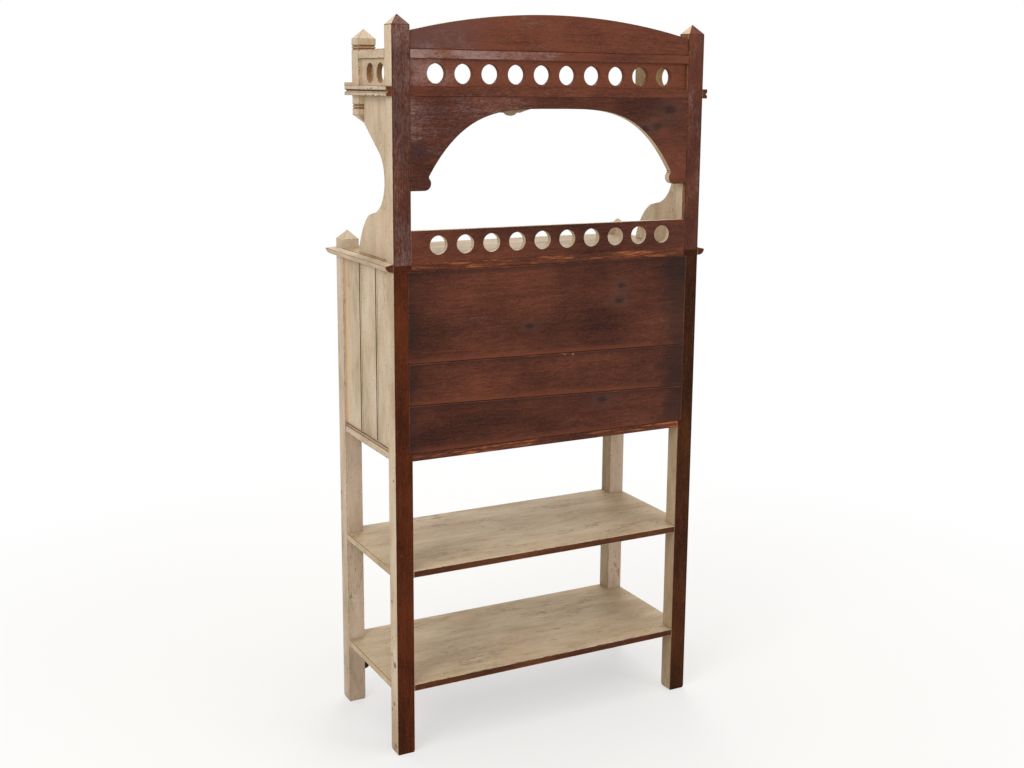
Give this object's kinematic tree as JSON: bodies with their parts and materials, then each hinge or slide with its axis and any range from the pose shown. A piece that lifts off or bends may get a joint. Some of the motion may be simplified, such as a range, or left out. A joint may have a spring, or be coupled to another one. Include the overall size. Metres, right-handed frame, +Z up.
{
  "type": "sideboard",
  "caption": "Tall painted wooden sideboard with open shelves, a cupboard with doors and drawers, an arched niche and a pierced gallery top.",
  "frame": {"origin": "middle of the base of the bounding box, on the floor", "axes": "+Z up, +X to the right as seen from the front, +Y towards the unpainted back; the doors and drawers open towards -Y"},
  "size_m": [0.924, 0.418, 1.8629],
  "materials": {
    "cream_paint": "worn cream milk paint over teak, satin",
    "bare_teak": "unpainted reddish brown teak, oiled, satin",
    "inner_teak": "unfinished teak, planed",
    "brass": "aged brass, satin"
  },
  "bodies": {
    "carcass": {"base_post_front_left": "cream_paint", "base_post_front_right": "cream_paint", "base_post_rear_left": "bare_teak", "base_post_rear_right": "bare_teak", "upper_post_front_left": "cream_paint", "upper_post_front_right": "cream_paint", "upper_post_rear_left": "bare_teak", "upper_post_rear_right": "bare_teak", "lower_shelf": "cream_paint", "lower_apron": "cream_paint", "middle_shelf": "cream_paint", "cupboard_floor": "inner_teak", "side_rail_left": "cream_paint", "side_rail_right": "cream_paint", "side_boards_left": "cream_paint", "side_boards_right": "cream_paint", "back_board_lower": "bare_teak", "back_board_middle": "bare_teak", "back_board_upper": "bare_teak", "front_rail_lower": "cream_paint", "front_rail_middle": "cream_paint", "drawer_muntin": "cream_paint", "drawer_bearer": "inner_teak", "drawer_guides": "inner_teak", "hinge_plates_left": "brass", "hinge_plates_right": "brass", "counter": "cream_paint", "counter_moulding_front": "cream_paint", "counter_moulding_left": "cream_paint", "counter_moulding_right": "cream_paint", "lower_gallery": "bare_teak", "side_panel_left": "cream_paint", "side_panel_right": "cream_paint", "rear_arch": "bare_teak", "front_arch": "cream_paint", "top_shelf": "cream_paint", "top_moulding_front": "cream_paint", "top_moulding_left": "cream_paint", "top_moulding_right": "cream_paint", "fret_board_rear": "bare_teak", "fret_board_left": "cream_paint", "fret_board_right": "cream_paint", "top_rail_rear": "bare_teak", "top_rail_left": "cream_paint", "top_rail_right": "cream_paint", "crest": "bare_teak"},
    "door_left": {"door_frame_left": "cream_paint", "door_panel_left": "cream_paint", "door_hinges_left": "brass", "door_knob_left": "brass"},
    "drawer_left": {"drawer_front_left": "cream_paint", "drawer_box_left": "inner_teak", "drawer_knob_left": "brass"},
    "door_right": {"door_frame_right": "cream_paint", "door_panel_right": "cream_paint", "door_hinges_right": "brass", "door_knob_right": "brass"},
    "drawer_right": {"drawer_front_right": "cream_paint", "drawer_box_right": "inner_teak", "drawer_knob_right": "brass"}
  },
  "joints": [
    {"name": "door_left", "type": "hinge", "parent": "carcass", "child": "door_left", "pos_m": [-0.393, -0.1915, 0.957], "axis": [0, 0, -1], "range_deg": [0, 110]},
    {"name": "door_right", "type": "hinge", "parent": "carcass", "child": "door_right", "pos_m": [0.393, -0.1915, 0.957], "axis": [0, 0, 1], "range_deg": [0, 110]},
    {"name": "drawer_left", "type": "slide", "parent": "carcass", "child": "drawer_left", "axis": [0, -1, 0], "range_m": [0, 0.235]},
    {"name": "drawer_right", "type": "slide", "parent": "carcass", "child": "drawer_right", "axis": [0, -1, 0], "range_m": [0, 0.235]}
  ]
}
